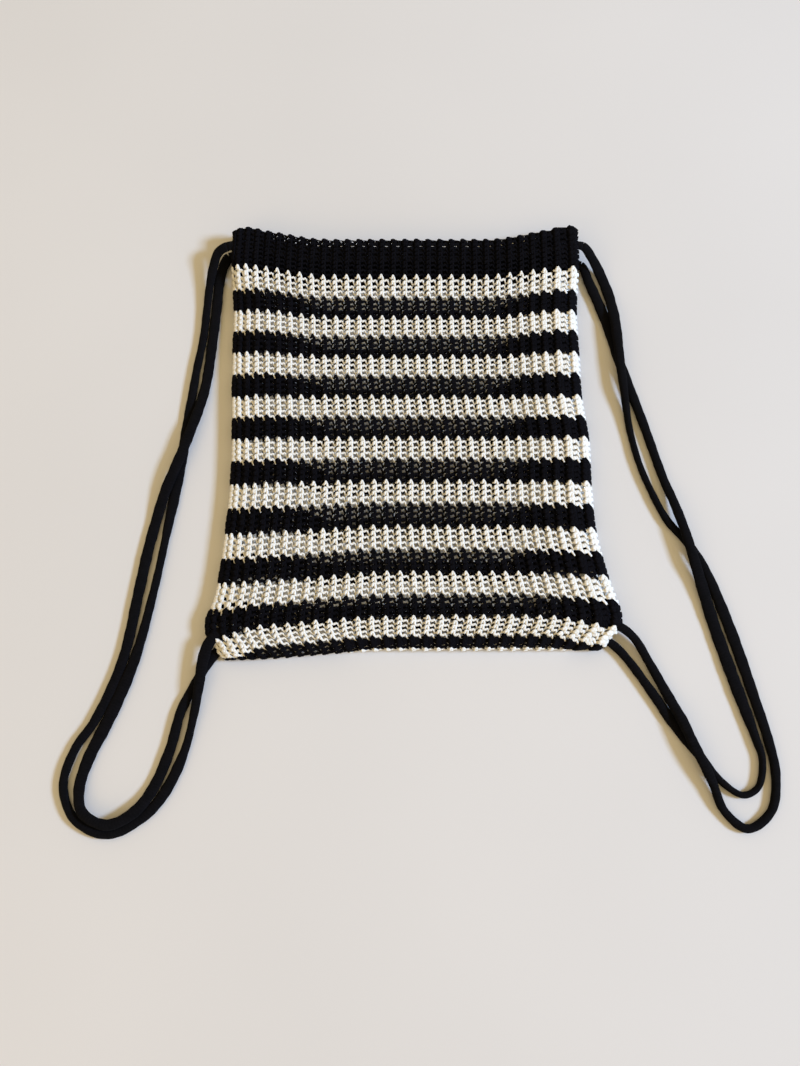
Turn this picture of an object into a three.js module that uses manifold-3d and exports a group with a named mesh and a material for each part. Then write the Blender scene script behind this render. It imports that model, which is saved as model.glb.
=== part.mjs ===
// A string backpack of striped rib knit, lying on its back on a flat surface.
// Millimetres, +Z up. +Y points to the mouth, +X to the right of someone who looks down on the front.
// The origin is under the middle of the bag, on the surface. The bag is one panel, folded at the bottom
// and joined at both sides, with a folded hem at the mouth. Two drawcords run in the hem's tunnels, and
// the two strands of each form a shoulder strap that goes back into a bottom corner.
import * as THREE from 'three';
import { mergeVertices } from 'three/addons/utils/BufferGeometryUtils.js';
import Module from 'manifold-3d';

const wasm = await Module();
wasm.setup();

// Driving sizes
const RIB_COUNT = 30; // raised wales across the front
const RIB_RELIEF = 1.6; // how far a wale stands above the web beside it
const RIB_CREST = 0.15; // half the crest's width, as a share of the rib spacing
const RIB_FOOT = 0.27; // half the width at the wale's foot, as a share of the rib spacing
const RIB_FADE = 5; // a wale rises to its full relief within this distance of the side edge
const FOLD = -196.7; // middle of the bottom fold
const HEM = 150.8; // middle of the hem's lower edge
const MOUTH = 191.7; // middle of the mouth's edge
const BODY_STEP = 22; // spacing of the sections between the fold and the hem
const RISE_START = 0.45; // share of the half width where the courses begin to bend towards the corners
const RISE_END = 0.95; // and where the bend is complete
const BACK_COLUMNS = 12;
const INNER_COLUMNS = 26;
const SIDE_WALL = 4.5; // width of the joined edge at each side
const BACK_ROUNDING = 3;
const TUNNEL_WIDTH = 17.4;
const TUNNEL_HEIGHT = 4.6;
const TUNNEL_OVERRUN = 1.08; // the cutter reaches this share of the half width
const TUNNEL_CHAMFER = 0.5; // of its corners, as a share of half its height
const TUNNEL_STEPS = 30;
const CORD_WIDTH = 7.8;
const CORD_THICKNESS = 4;
const CORD_SIDES = 8;
const CORD_STEPS = 76;
const CORD_CLEARANCE = 0.9;
const CORD_END_STEPS = 7; // the last steps of a strand, which pass through the cloth
const MERGE_DISTANCE = 1e-4; // points closer than this are one point

// Outline of the courses, from the fold to the mouth. middle is y at the bag's middle, leftRise and
// rightRise how much further towards the mouth the course lies at its ends, left and right x of the ends.
const COURSES = [
  { middle: FOLD, leftRise: -7.5, rightRise: 1.5, left: -158, right: 157 },
  { middle: -190, leftRise: -8, rightRise: -1, left: -168.5, right: 165.5 },
  { middle: -183, leftRise: -8.5, rightRise: -2.5, left: -172, right: 169 },
  { middle: -175, leftRise: -8.5, rightRise: -3, left: -179, right: 177.5 },
  { middle: -166, leftRise: -8.5, rightRise: -3.5, left: -181, right: 181 },
  { middle: -157, leftRise: -9, rightRise: -3.5, left: -180, right: 180 },
  { middle: -147, leftRise: -9.5, rightRise: -3.5, left: -176, right: 177 },
  { middle: -128, leftRise: -9.5, rightRise: -3.5, left: -172, right: 171 },
  { middle: -88, leftRise: -7, rightRise: -2.5, left: -168, right: 162.5 },
  { middle: -47, leftRise: -3, rightRise: -0.8, left: -165.3, right: 160.5 },
  { middle: -7, leftRise: -0.8, rightRise: 0.5, left: -165.6, right: 160.5 },
  { middle: 34, leftRise: 0.8, rightRise: 1, left: -167.3, right: 156 },
  { middle: 74, leftRise: 4.5, rightRise: 4.8, left: -168.8, right: 155.5 },
  { middle: 113, leftRise: 8, rightRise: 7, left: -169.5, right: 155.2 },
  { middle: HEM, leftRise: 11, rightRise: 9, left: -173, right: 158 },
  { middle: MOUTH, leftRise: 11, rightRise: 12.5, left: -172, right: 158 },
];

// Lengthwise section of the outside. back and front are the heights of the two faces, edgeLow and
// edgeHigh those of the side edge, and round how far in from that edge the front has risen.
const BODY_OUTSIDE = { back: 0, front: 15.2, edgeLow: 1, edgeHigh: 4.7, round: 20 };
const OUTSIDE = [
  { middle: FOLD, back: 2.8, front: 6.4, edgeLow: 3.4, edgeHigh: 5.2, round: 12 },
  { middle: FOLD + 1.3, back: 0.8, front: 9.4, edgeLow: 2.2, edgeHigh: 5, round: 16 },
  { middle: FOLD + 4, back: 0, front: 12.9, edgeLow: 1, edgeHigh: 4.8, round: 20 },
  ...bodySections(FOLD + 10, HEM - 16, BODY_OUTSIDE),
  { middle: HEM - 6, back: 0, front: 17.1, edgeLow: 1, edgeHigh: 11, round: 14 },
  { middle: HEM + 3, back: 0, front: 19.3, edgeLow: 1, edgeHigh: 17.6, round: 8 },
  { middle: HEM + 12, back: 0, front: 19.9, edgeLow: 1, edgeHigh: 18.9, round: 7 },
  { middle: MOUTH - 14, back: 0, front: 19.9, edgeLow: 1, edgeHigh: 18.9, round: 7 },
  { middle: MOUTH - 4, back: 0, front: 19.7, edgeLow: 1, edgeHigh: 18.8, round: 7 },
  { middle: MOUTH - 1.2, back: 1, front: 18.8, edgeLow: 2, edgeHigh: 18.2, round: 7 },
  { middle: MOUTH, back: 2.4, front: 17.4, edgeLow: 3.2, edgeHigh: 17, round: 7 },
];

// The same for the inside, from the bottom of the pouch to the mouth between the two hems.
const BODY_INSIDE = { back: 2.3, front: 13.1, edgeLow: 2.8, edgeHigh: 3.8, round: 16 };
const INSIDE = [
  { middle: FOLD + 4.5, back: 3.8, front: 7.6, edgeLow: 4, edgeHigh: 5, round: 10 },
  { middle: FOLD + 7, back: 2.6, front: 11.3, edgeLow: 3.2, edgeHigh: 4.2, round: 14 },
  ...bodySections(FOLD + 12, HEM - 14, BODY_INSIDE),
  { middle: HEM - 2, back: 5.6, front: 13.2, edgeLow: 6.4, edgeHigh: 10, round: 8 },
  { middle: HEM + 6, back: 6.4, front: 13.2, edgeLow: 7.2, edgeHigh: 12.3, round: 4 },
  { middle: MOUTH - 4, back: 6.4, front: 13.2, edgeLow: 7.2, edgeHigh: 12.3, round: 4 },
  { middle: MOUTH - 1.2, back: 5.9, front: 13.6, edgeLow: 6.7, edgeHigh: 12.8, round: 4 },
  { middle: MOUTH, back: 4.6, front: 14.9, edgeLow: 5.6, edgeHigh: 14, round: 4 },
];

// The hem's two tunnels: y at the bag's middle and height of each tunnel's centre line.
const TUNNELS = {
  front: { middle: 175, height: 16.4 },
  back: { middle: 166.5, height: 3.3 },
};

// Where a tunnel's centre line has its points, as shares of the half width.
const TUNNEL_STOPS = [-TUNNEL_OVERRUN, -1, -0.85, -0.7, -0.5, 0, 0.5, 0.7, 0.85, 1, TUNNEL_OVERRUN];

// The strands. Each starts near the far end of a tunnel, in a lane of its own, and leaves the hem at
// side. lane and exitLane are y from the tunnel's centre line. route is the free stretch from the hem to
// the inside of the bottom corner: x, y and z of the centre line.
const STRANDS = {
  cord_left_front: {
    tunnel: 'front', side: -1, lane: 4.2, exitLane: -1.7,
    route: [
      [-184.5, 180, 13.8], [-190, 166, 9.2], [-193.2, 148, 5.6], [-195, 126, 3.6], [-197, 96, 2.9],
      [-201.5, 64, 2.8], [-207, 10, 2.8], [-212, -38, 2.8], [-218, -80, 2.8], [-227.5, -143, 2.8],
      [-240.5, -204, 2.8], [-259, -254, 2.8], [-273, -286, 3], [-278, -310, 4.4], [-273, -328, 6.6],
      [-252, -337.5, 7.4], [-231, -328, 6.4], [-217.5, -310, 3], [-205, -278, 2.8], [-197.5, -246, 2.8],
      [-187, -224, 2.8], [-175.5, -204, 2.8], [-165.5, -192.5, 3.2], [-156, -187, 5],
    ],
  },
  cord_left_back: {
    tunnel: 'back', side: -1, lane: 4.2, exitLane: 3.3,
    route: [
      [-180.5, 174, 3.3], [-184.2, 157, 3.1], [-186, 126, 2.9], [-188, 96, 2.8], [-191.5, 54, 3],
      [-195, 32, 5], [-202, 5, 7.6], [-208, -14, 7.9], [-215, -34, 7.8], [-222, -52, 5.8],
      [-229.5, -80, 3], [-235, -107, 2.8], [-240.5, -143, 2.8], [-250.5, -204, 2.8], [-270, -254, 2.8],
      [-285, -278, 2.8], [-292, -307, 2.8], [-280, -334, 2.8], [-252, -345.5, 2.8], [-222, -330, 2.8],
      [-206.5, -311, 2.8], [-192.5, -278, 2.8], [-186, -248, 4.8], [-182.5, -225, 7.8], [-180, -204, 8.6],
      [-174.5, -188, 10], [-166, -181, 9.6], [-157, -175.5, 6.2],
    ],
  },
  cord_right_front: {
    tunnel: 'front', side: 1, lane: -4.2, exitLane: -1,
    route: [
      [170.9, 175.5, 11.2], [180.4, 160.1, 4.2], [186.6, 141.2, 3.6], [188.5, 128, 5.6], [190, 115, 7.6],
      [191.5, 92, 7.9], [192.5, 68, 7.9], [194.2, 46, 7.4], [196.2, 26, 4.6], [198.5, 6, 2.9],
      [205, -26, 2.8], [214, -52, 2.8], [227, -80, 2.8], [244, -101, 2.8], [257, -125, 2.8],
      [274.5, -178, 2.8], [290, -237, 2.8], [298, -270, 2.8], [301.5, -298, 2.8], [295, -327, 2.8],
      [274, -341, 2.8], [256, -327, 3], [247.5, -305, 5.8], [241, -290, 7.6], [234, -275, 7.9],
      [225.5, -254, 7.4], [217.4, -237, 4.6], [201, -204, 3.8], [190, -185.5, 6.6], [180, -177, 9],
      [169, -172, 9.2], [160, -168.5, 5.8],
    ],
  },
  cord_right_back: {
    tunnel: 'back', side: 1, lane: -4.2, exitLane: -4.2,
    route: [
      [168.5, 155, 3.2], [176.5, 133, 2.9], [184.5, 108, 2.8], [193.5, 72, 2.8], [210.5, 15, 2.8],
      [226.5, -43, 3.3], [233, -64, 6], [238.5, -84, 7.7], [242.5, -100, 7.9], [246.5, -117, 7.4],
      [252, -138, 4.6], [259.5, -169, 2.8], [273.5, -220, 2.8], [287.5, -268, 2.8], [291.5, -286, 2.8],
      [286, -308, 2.8], [273, -314.5, 2.8], [256, -304, 2.8], [237, -280, 2.8], [217.5, -254, 2.8],
      [207.5, -238, 2.8], [185, -204.5, 2.8], [175, -193, 2.9], [164.5, -185, 3.6], [155, -179, 5.6],
    ],
  },
};
// Where a strand's stretch in the hem has its points, from the far end to its own end, as shares of the
// half width, and from which share on it moves from its lane to its exit lane.
const HEM_STOPS = [-0.8, -0.66, -0.5, 0, 0.5, 0.66, 0.8, 0.92, 1.02];
const EXIT_START = 0.8;

const BLACK_COTTON = { color: 0x17161a, roughness: 0.9, metalness: 0 };
const STRIPED_COTTON = { color: 0xd9d5c8, roughness: 0.92, metalness: 0 };

// Like sections at an even spacing between two places.
function bodySections(from, to, section) {
  const count = Math.round((to - from) / BODY_STEP);
  const step = (to - from) / count;
  return Array.from({ length: count + 1 }, (_, i) => ({ ...section, middle: from + step * i }));
}

function smoothStep(from, to, value) {
  return THREE.MathUtils.smoothstep(value, from, to);
}

// The outline of the course at a given middle, between the rows of COURSES, on smooth cubic pieces.
function courseAt(middle) {
  const last = COURSES.length - 1;
  let i = 0;
  while (i < last - 1 && COURSES[i + 1].middle < middle) i += 1;
  const [low, high] = [COURSES[i], COURSES[i + 1]];
  const [before, after] = [COURSES[Math.max(i - 1, 0)], COURSES[Math.min(i + 2, last)]];
  const span = high.middle - low.middle;
  const t = (middle - low.middle) / span;
  const between = (column) => {
    const slopeLow = (high[column] - before[column]) / (high.middle - before.middle);
    const slopeHigh = (after[column] - low[column]) / (after.middle - low.middle);
    const a = 2 * (low[column] - high[column]) + span * (slopeLow + slopeHigh);
    const b = 3 * (high[column] - low[column]) - span * (2 * slopeLow + slopeHigh);
    return low[column] + t * (span * slopeLow + t * (b + t * a));
  };
  return {
    middle,
    leftRise: between('leftRise'),
    rightRise: between('rightRise'),
    left: between('left'),
    right: between('right'),
  };
}

// A place on a course: across runs from -1 at the left edge to 1 at the right, inset narrows the course.
function placeOn(course, across, inset = 0) {
  const left = course.left + inset;
  const right = course.right - inset;
  const rise = across < 0 ? course.leftRise : course.rightRise;
  const bend = smoothStep(RISE_START, RISE_END, Math.abs(across));
  return {
    x: left + ((right - left) * (across + 1)) / 2,
    y: course.middle + rise * bend,
    fromEdge: ((1 - Math.abs(across)) * (right - left)) / 2,
  };
}

// How far a face has risen at a distance in from the side edge: a quarter of an ellipse.
function risenAt(fromEdge, round) {
  const rest = Math.max(0, 1 - fromEdge / round);
  return Math.sqrt(1 - rest * rest);
}

// Columns across the front: foot, crest, crest and foot of each wale, with the relief at each.
function ribColumns() {
  const spacing = 2 / RIB_COUNT;
  const marks = [[-RIB_FOOT, 0], [-RIB_CREST, RIB_RELIEF], [RIB_CREST, RIB_RELIEF], [RIB_FOOT, 0]];
  const columns = [];
  for (let rib = 0; rib < RIB_COUNT; rib += 1) {
    const centre = -1 + (rib + 0.5) * spacing;
    for (const [share, relief] of marks) columns.push({ across: centre + share * spacing, relief });
  }
  return [{ across: -1, relief: 0 }, ...columns, { across: 1, relief: 0 }];
}

// Columns across a plain face, closer together near the side edges.
function plainColumns(count) {
  return Array.from({ length: count + 1 }, (_, i) => ({
    across: Math.sin((Math.PI / 2) * (-1 + (2 * i) / count)),
    relief: 0,
  }));
}

// A list of points and triangles that grows as faces are added.
class Skin {
  constructor() {
    this.points = [];
    this.triangles = [];
  }

  // The front and back rows of one section, as point numbers from left to right.
  addSection(section, inset, frontColumns, backColumns) {
    const course = courseAt(section.middle);
    const front = frontColumns.map(({ across, relief }) => {
      const { x, y, fromEdge } = placeOn(course, across, inset);
      const rise = (section.front - section.edgeHigh) * risenAt(fromEdge, section.round);
      return this.addPoint(x, y, section.edgeHigh + rise + relief * smoothStep(0, RIB_FADE, fromEdge));
    });
    const back = backColumns.map(({ across }) => {
      const { x, y, fromEdge } = placeOn(course, across, inset);
      const drop = (section.edgeLow - section.back) * risenAt(fromEdge, BACK_ROUNDING);
      return this.addPoint(x, y, section.edgeLow - drop);
    });
    return { front, back };
  }

  addPoint(x, y, z) {
    this.points.push(x, y, z);
    return this.points.length / 3 - 1;
  }

  xOf(point) {
    return this.points[3 * point];
  }

  addTriangle(a, b, c, turned) {
    this.triangles.push(a, ...(turned ? [c, b] : [b, c]));
  }

  // A strip between two rows of points that both run from left to right.
  addStrip(low, high, turned) {
    let i = 0;
    let j = 0;
    while (i < low.length - 1 || j < high.length - 1) {
      const lowNext = i < low.length - 1 ? this.xOf(low[i + 1]) : Infinity;
      const highNext = j < high.length - 1 ? this.xOf(high[j + 1]) : Infinity;
      if (lowNext <= highNext) {
        this.addTriangle(low[i], low[i + 1], high[j], turned);
        i += 1;
      } else {
        this.addTriangle(low[i], high[j + 1], high[j], turned);
        j += 1;
      }
    }
  }

  // The walls between sections in a row, closed at the first one.
  addTube(sections, turned) {
    this.addStrip(sections[0].back, sections[0].front, turned);
    for (let i = 0; i < sections.length - 1; i += 1) {
      const [near, far] = [sections[i], sections[i + 1]];
      const end = near.front.length - 1;
      const backEnd = near.back.length - 1;
      this.addStrip(near.front, far.front, turned);
      this.addStrip(far.back, near.back, turned);
      this.addTriangle(near.back[0], near.front[0], far.front[0], turned);
      this.addTriangle(near.back[0], far.front[0], far.back[0], turned);
      this.addTriangle(near.front[end], near.back[backEnd], far.back[backEnd], turned);
      this.addTriangle(near.front[end], far.back[backEnd], far.front[end], turned);
    }
  }

  // The rim between the last outer and the last inner section.
  addRim(outer, inner) {
    this.addStrip(outer.front, inner.front, false);
    this.addStrip(inner.back, outer.back, false);
    this.addTriangle(outer.back[0], outer.front[0], inner.front[0], false);
    this.addTriangle(outer.back[0], inner.front[0], inner.back[0], false);
    const [end, innerEnd] = [outer.front.length - 1, inner.front.length - 1];
    const [backEnd, innerBackEnd] = [outer.back.length - 1, inner.back.length - 1];
    this.addTriangle(outer.front[end], outer.back[backEnd], inner.back[innerBackEnd], false);
    this.addTriangle(outer.front[end], inner.back[innerBackEnd], inner.front[innerEnd], false);
  }

  toSolid() {
    return solidOf(new Float32Array(this.points), new Uint32Array(this.triangles));
  }
}

function solidOf(vertProperties, triVerts) {
  return new wasm.Manifold(new wasm.Mesh({ numProp: 3, vertProperties, triVerts }));
}

function solidOfGeometry(geometry) {
  const bare = geometry.clone();
  bare.deleteAttribute('normal');
  bare.deleteAttribute('uv');
  const merged = mergeVertices(bare, MERGE_DISTANCE);
  return solidOf(new Float32Array(merged.attributes.position.array), new Uint32Array(merged.index.array));
}

function geometryOf(solid) {
  const { vertProperties, triVerts } = solid.getMesh();
  const geometry = new THREE.BufferGeometry();
  geometry.setAttribute('position', new THREE.BufferAttribute(new Float32Array(vertProperties), 3));
  geometry.setIndex(new THREE.BufferAttribute(new Uint32Array(triVerts), 1));
  geometry.computeVertexNormals();
  return geometry;
}

// The pouch before its tunnels and corner holes are cut: a flat bag open at the mouth.
function pouch() {
  const skin = new Skin();
  const back = plainColumns(BACK_COLUMNS);
  const outer = OUTSIDE.map((section) => skin.addSection(section, 0, ribColumns(), back));
  const innerFront = plainColumns(INNER_COLUMNS);
  const inner = INSIDE.map((section) => skin.addSection(section, SIDE_WALL, innerFront, back));
  skin.addTube(outer, false);
  skin.addTube(inner, true);
  skin.addRim(outer[outer.length - 1], inner[inner.length - 1]);
  return skin.toSolid();
}

// A flat cord or a cutter for one: an oval section, thin along Z, carried along a curve.
function flatTube(curve, width, thickness, steps) {
  const outline = Array.from({ length: CORD_SIDES }, (_, i) => {
    const angle = ((i + 0.5) * 2 * Math.PI) / CORD_SIDES;
    return new THREE.Vector2((Math.cos(angle) * thickness) / 2, (Math.sin(angle) * width) / 2);
  });
  const reach = Math.cos(Math.PI / CORD_SIDES);
  const shape = new THREE.Shape(outline.map((point) => point.divideScalar(reach)));
  return new THREE.ExtrudeGeometry(shape, { steps, bevelEnabled: false, extrudePath: curve });
}

// A cutter for one tunnel of the hem, which follows the hem's bend from side to side.
function tunnelCutter({ middle, height }) {
  const course = courseAt(middle);
  const points = TUNNEL_STOPS.map((across) => {
    const { x, y } = placeOn(course, across);
    return new THREE.Vector3(x, y, height);
  });
  const half = { x: TUNNEL_HEIGHT / 2, y: TUNNEL_WIDTH / 2 };
  const corner = half.x * TUNNEL_CHAMFER;
  const shape = new THREE.Shape();
  shape.moveTo(-half.x, -half.y + corner);
  shape.lineTo(-half.x + corner, -half.y);
  shape.lineTo(half.x - corner, -half.y);
  shape.lineTo(half.x, -half.y + corner);
  shape.lineTo(half.x, half.y - corner);
  shape.lineTo(half.x - corner, half.y);
  shape.lineTo(-half.x + corner, half.y);
  shape.lineTo(-half.x, half.y - corner);
  shape.closePath();
  const extrudePath = new THREE.CatmullRomCurve3(points);
  const settings = { steps: TUNNEL_STEPS, bevelEnabled: false, extrudePath };
  return solidOfGeometry(new THREE.ExtrudeGeometry(shape, settings));
}

// A strand's centre line: along its lane in the hem, out of the hem's end, then along its free route.
function strandCurve({ tunnel, side, lane, exitLane, route }) {
  const { middle, height } = TUNNELS[tunnel];
  const course = courseAt(middle);
  const inHem = HEM_STOPS.map((stop) => {
    const { x, y } = placeOn(course, side * stop);
    const shift = THREE.MathUtils.lerp(lane, exitLane, smoothStep(EXIT_START, 1, stop));
    return new THREE.Vector3(x, y + shift, height);
  });
  return new THREE.CatmullRomCurve3([...inHem, ...route.map(([x, y, z]) => new THREE.Vector3(x, y, z))]);
}

// A cutter for the hole that a strand passes through at the bottom corner.
function cornerCutter(path) {
  const end = strandCurve(path).getSpacedPoints(CORD_STEPS).slice(-CORD_END_STEPS - 1);
  const wide = CORD_WIDTH + 2 * CORD_CLEARANCE;
  const thick = CORD_THICKNESS + 2 * CORD_CLEARANCE;
  return solidOfGeometry(flatTube(new THREE.CatmullRomCurve3(end), wide, thick, CORD_END_STEPS));
}

function bag() {
  let solid = pouch();
  for (const tunnel of Object.values(TUNNELS)) solid = solid.subtract(tunnelCutter(tunnel));
  for (const path of Object.values(STRANDS)) solid = solid.subtract(cornerCutter(path));
  const mesh = new THREE.Mesh(geometryOf(solid), new THREE.MeshStandardMaterial(STRIPED_COTTON));
  mesh.name = 'bag';
  return mesh;
}

function strand(name, path) {
  const geometry = flatTube(strandCurve(path), CORD_WIDTH, CORD_THICKNESS, CORD_STEPS);
  const mesh = new THREE.Mesh(geometry, new THREE.MeshStandardMaterial(BLACK_COTTON));
  mesh.name = name;
  return mesh;
}

const backpack = new THREE.Group();
backpack.add(bag());
for (const [name, path] of Object.entries(STRANDS)) backpack.add(strand(name, path));

export default backpack;
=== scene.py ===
"""A string backpack of striped rib knit, laid flat: its cloth stitch by stitch, and its drawcords."""

import math

import bpy
import numpy as np
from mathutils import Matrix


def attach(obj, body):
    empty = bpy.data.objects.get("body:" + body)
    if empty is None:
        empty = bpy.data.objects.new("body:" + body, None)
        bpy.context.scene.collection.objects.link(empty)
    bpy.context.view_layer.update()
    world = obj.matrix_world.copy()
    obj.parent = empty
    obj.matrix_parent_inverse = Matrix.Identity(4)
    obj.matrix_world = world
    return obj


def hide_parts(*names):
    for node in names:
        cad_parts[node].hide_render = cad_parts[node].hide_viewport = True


bl_info = {
    "name": "Striped knit string backpack",
    "version": (1, 0, 0),
    "blender": (4, 5, 0),
    "location": "3D View > Sidebar > Backpack",
    "description": "Knits a striped rib string backpack stitch by stitch and lays its drawcords",
    "category": "Add Mesh",
}

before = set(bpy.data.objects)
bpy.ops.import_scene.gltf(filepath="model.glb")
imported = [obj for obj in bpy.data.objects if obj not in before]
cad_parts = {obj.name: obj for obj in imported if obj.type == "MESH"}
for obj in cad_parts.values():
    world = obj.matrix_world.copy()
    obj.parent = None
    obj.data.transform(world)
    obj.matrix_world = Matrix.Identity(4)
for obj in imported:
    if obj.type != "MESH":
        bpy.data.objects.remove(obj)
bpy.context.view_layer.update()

MM = 0.001
SEED = 20

# The bag's outline, one course of stitches a line, in millimetres: where the course lies at the middle of
# the bag, how far its left and right parts rise above that, its left and right ends, and the share of the
# way to the left end where the left part begins to rise.
COURSES = np.array([
    (-196.7, -7.5, 1.5, -158.0, 157.0, 0.1),
    (-190.0, -8.0, -1.0, -168.5, 165.5, 0.1),
    (-183.0, -8.5, -2.5, -172.0, 169.0, 0.1),
    (-175.0, -8.5, -3.0, -179.0, 177.5, 0.1),
    (-166.0, -8.5, -3.5, -181.0, 181.0, 0.1),
    (-157.0, -9.0, -3.5, -180.0, 180.0, 0.1),
    (-147.0, -9.5, -3.5, -176.0, 177.0, 0.1),
    (-128.0, -9.5, -3.5, -172.0, 171.0, 0.1),
    (-88.0, -7.0, -2.5, -168.0, 162.5, 0.1),
    (-47.0, -3.0, -0.8, -165.3, 160.5, 0.1),
    (-7.0, -0.8, 0.5, -165.6, 160.5, 0.2),
    (34.0, 0.8, 1.0, -167.3, 156.0, 0.45),
    (74.0, 4.5, 4.8, -168.8, 155.5, 0.45),
    (113.0, 8.0, 7.0, -169.5, 155.2, 0.45),
    (150.8, 11.0, 9.0, -173.0, 158.0, 0.45),
    (191.7, 11.0, 12.5, -172.0, 158.0, 0.45),
])
RIGHT_RISE_START = 0.45
RISE_END = 0.95

# How the ribs crowd at the left edge: by what share of the width, how soon, how far that shrinks to the
# right, and the share of the width at the right edge over which it ends. The cloth goes no further out than
# the outermost rib, counted in ribs from either edge.
CROWDING = 0.041
CROWD_REACH = 0.055
CROWD_SHRINK = 0.36
CROWD_END = 0.06
OUTERMOST_RIB = 0.03

# The cloth's way through the bag, from the hem's inner layer at the front over the mouth's fold, down the
# front, round the bottom fold and up the back to the inner layer there. Row 0 is the first ivory row below
# the hem, and rows are counted down the front. Each line has the row, where it lies at the bag's middle,
# the height of the cloth's middle there and at the side edges, how far in from the edge it reaches full
# height, all in millimetres, and how full its relief is.
CLOTH_WAY = np.array([
    (-17.5, 151.0, 13.8, 10.8, 6.0, 0.45),
    (-13.0, 171.0, 13.9, 10.8, 6.0, 0.45),
    (-9.6, 185.6, 14.3, 11.2, 6.0, 0.6),
    (-8.3, 189.4, 16.4, 15.0, 6.0, 1.4),
    (-7.2, 186.8, 18.2, 17.0, 6.5, 1.0),
    (-5.0, 177.0, 18.6, 17.2, 7.0, 0.65),
    (-2.0, 163.8, 18.4, 16.4, 8.0, 0.65),
    (0.0, 154.8, 17.0, 11.9, 11.0, 0.85),
    (2.0, 143.6, 15.0, 6.6, 15.0, 1.0),
    (4.0, 133.5, 14.0, 4.2, 18.0, 1.0),
    (8.0, 113.9, 13.8, 3.7, 20.0, 1.0),
    (16.0, 74.5, 13.8, 3.7, 20.0, 1.0),
    (24.0, 35.0, 13.8, 3.7, 20.0, 1.0),
    (32.0, -4.5, 13.8, 3.7, 20.0, 1.0),
    (40.0, -44.9, 13.8, 3.7, 20.0, 1.0),
    (48.0, -86.2, 13.8, 3.7, 20.0, 1.0),
    (56.0, -127.4, 13.8, 3.7, 20.0, 1.0),
    (64.0, -165.8, 13.4, 3.7, 20.0, 1.0),
    (68.0, -182.4, 12.3, 3.8, 18.0, 1.0),
    (70.0, -190.0, 10.0, 4.2, 14.0, 1.0),
    (71.2, -193.2, 7.4, 4.4, 12.0, 0.9),
    (72.2, -194.0, 5.0, 4.2, 10.0, 0.8),
    (73.2, -192.2, 3.4, 3.4, 8.0, 0.8),
    (75.0, -182.8, 2.7, 2.7, 8.0, 0.95),
    (78.0, -168.2, 2.6, 2.6, 8.0, 1.0),
    (94.0, -90.0, 2.6, 2.6, 8.0, 1.0),
    (110.0, -6.9, 2.6, 2.6, 8.0, 1.0),
    (126.0, 72.8, 2.6, 2.6, 8.0, 1.0),
    (140.0, 142.2, 2.6, 2.6, 8.0, 1.0),
    (142.0, 152.4, 2.4, 2.6, 8.0, 0.8),
    (148.0, 185.5, 2.0, 2.6, 8.0, 0.65),
    (149.3, 191.4, 2.9, 3.4, 8.0, 0.9),
    (150.1, 192.6, 4.3, 4.8, 7.0, 1.0),
    (151.1, 190.0, 5.1, 7.2, 6.0, 0.5),
    (154.0, 176.5, 5.2, 7.8, 6.0, 0.45),
    (161.0, 143.0, 5.1, 7.8, 6.0, 0.45),
])
FIRST_HEM_ROW = -17
FIRST_BODY_ROW = 0
FOLD_ROW = 72
BACK_HEM_ROW = 140
LAST_ROW = 158
RIBS = 30
RIB_SPAN = 30.35

# One rib of one row of yarn: the way across from the middle of the rib in millimetres, the way up in rows,
# the way out of the cloth in millimetres, and the yarn's width and thickness in millimetres. A face stitch
# stands up out of the cloth like a caret over the one below, and between the ribs the yarn climbs across the
# open trough, with a thin purl loop in the middle.
STITCH = np.array([
    (-1.85, -0.42, 1.2, 1.6, 1.4),
    (-1.42, -0.62, 1.8, 2.0, 1.3),
    (-1.10, -0.45, 2.1, 2.2, 1.3),
    (-0.85, -0.14, 2.1, 2.2, 1.3),
    (0.00, 0.00, 1.9, 1.8, 1.3),
    (0.85, -0.14, 1.7, 2.2, 1.3),
    (1.25, -0.50, 1.6, 2.3, 1.3),
    (1.50, -0.84, 1.3, 2.3, 1.4),
    (2.10, -1.00, 0.8, 2.2, 1.5),
    (3.60, -0.96, 0.6, 2.2, 1.5),
    (4.70, -0.86, 0.6, 2.0, 1.5),
    (5.50, -0.82, 0.6, 1.6, 1.4),
    (6.50, -1.22, 0.6, 1.2, 1.3),
    (7.80, -1.76, 0.5, 1.0, 1.1),
    (7.80, -1.58, -0.5, 0.9, 1.1),
    (6.40, -0.95, -0.8, 1.1, 1.3),
    (7.60, -0.55, -0.3, 1.3, 1.4),
])

# The ribs' spacing in millimetres, the knot at the top of a stitch, how many rows a stitch hangs low, how
# uneven stitches are across in millimetres, along in rows and in width as a share, and how far the cloth is
# drawn in from the left and the right end of its course, in millimetres.
RIB_PITCH = 10.9
STITCH_TOP = 4
STITCH_DROP = 0.18
UNEVEN_ACROSS = 0.1
UNEVEN_ROW = 0.04
UNEVEN_SWELL = 0.04
EDGE_INSETS = (3.6, -0.4)

# The tips of a stripe's first row: the knots from the top of the stitch over which they end, how far they are
# drawn in and thinned, as shares, and how far they rise, in rows.
TIP_KNOTS = (0.8, 2.6)
TIP_DRAWN_IN = 0.55
TIP_THINNED = 0.4
TIP_RISE = 0.08

# How much wider the yarn is where stitches crowd, as shares: at the side edges in two steps with the distance
# from the middle over which each comes in, at the mouth's fold and at the bottom fold. The least width at the
# mouth's fold, in millimetres.
EDGE_FILLS = ((0.4, (0.72, 0.94)), (0.4, (0.93, 0.955)))
FOLD_FILL = 0.3
BOTTOM_FILL = 0.15
FOLD_LEAST = 2.3

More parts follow.
